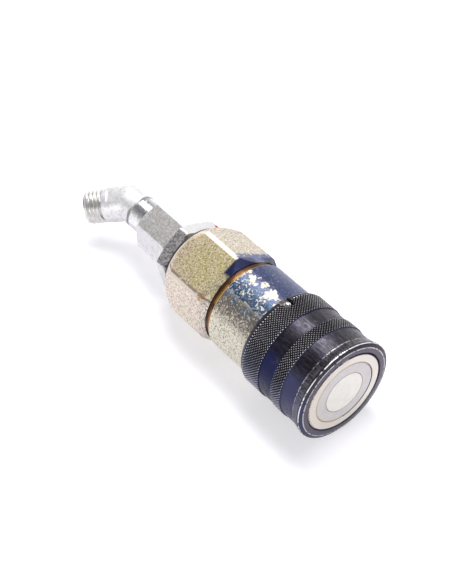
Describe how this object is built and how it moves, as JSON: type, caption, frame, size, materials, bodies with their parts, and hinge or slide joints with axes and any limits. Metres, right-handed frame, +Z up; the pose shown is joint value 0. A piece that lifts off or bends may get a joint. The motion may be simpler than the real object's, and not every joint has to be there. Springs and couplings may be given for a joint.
{
  "type": "flat face hydraulic coupling half",
  "caption": "Female flat-face hydraulic quick coupling half with a sliding locking sleeve, a reducing nipple and a 45-degree swivel elbow with a male thread.",
  "frame": {"origin": "centre of the mating face, on the coupling axis", "axes": "+X along the coupling axis, out of the mating face towards the other half; +Z up as the part lies on a table; the elbow's free leg points to -X and -Y"},
  "size_m": [0.1704, 0.048, 0.0472],
  "materials": {
    "barrel_paint": "worn blue paint over plated steel",
    "chromate_steel": "yellow chromate, stained and scratched",
    "black_steel": "black oxide, worn bright on the knurl and the edges",
    "bright_steel": "fine turned plated steel",
    "ball_steel": "polished",
    "spring_steel": "drawn wire",
    "plain_steel": "turned",
    "seal_rubber": "smooth",
    "backup_plastic": "smooth",
    "washer_steel": "dull olive",
    "zinc_steel": "forged and plated, pale and sandy"
  },
  "bodies": {
    "coupling_body": {"front_body": "barrel_paint", "rear_body": "chromate_steel", "sleeve_spring": "spring_steel", "sleeve_stop_ring": "spring_steel", "locking_balls": "ball_steel", "lock_ball": "ball_steel", "valve_spring": "spring_steel", "valve_stem": "bright_steel", "stem_seal": "seal_rubber", "stem_carrier": "plain_steel", "stem_nut": "plain_steel", "probe_seal": "seal_rubber", "backup_ring": "backup_plastic", "body_seal": "seal_rubber", "bonded_seal_ring": "washer_steel", "bonded_seal_lip": "seal_rubber", "nipple": "zinc_steel", "swivel_nut": "zinc_steel", "thrust_wire": "spring_steel", "cone_seal": "seal_rubber", "elbow": "zinc_steel"},
    "locking_sleeve": {"locking_sleeve": "black_steel"},
    "valve_sleeve": {"valve_sleeve": "bright_steel"}
  },
  "joints": [
    {"name": "sleeve_slide", "type": "slide", "parent": "coupling_body", "child": "locking_sleeve", "axis": [1, 0, 0], "range_m": [0, 0.0068], "deforming": ["sleeve_spring"]},
    {"name": "valve_sleeve_slide", "type": "slide", "parent": "coupling_body", "child": "valve_sleeve", "axis": [-1, 0, 0], "range_m": [0, 0.01], "stiffness_N_per_m": 1200, "springref_m": -0.01, "deforming": ["valve_spring"]}
  ]
}
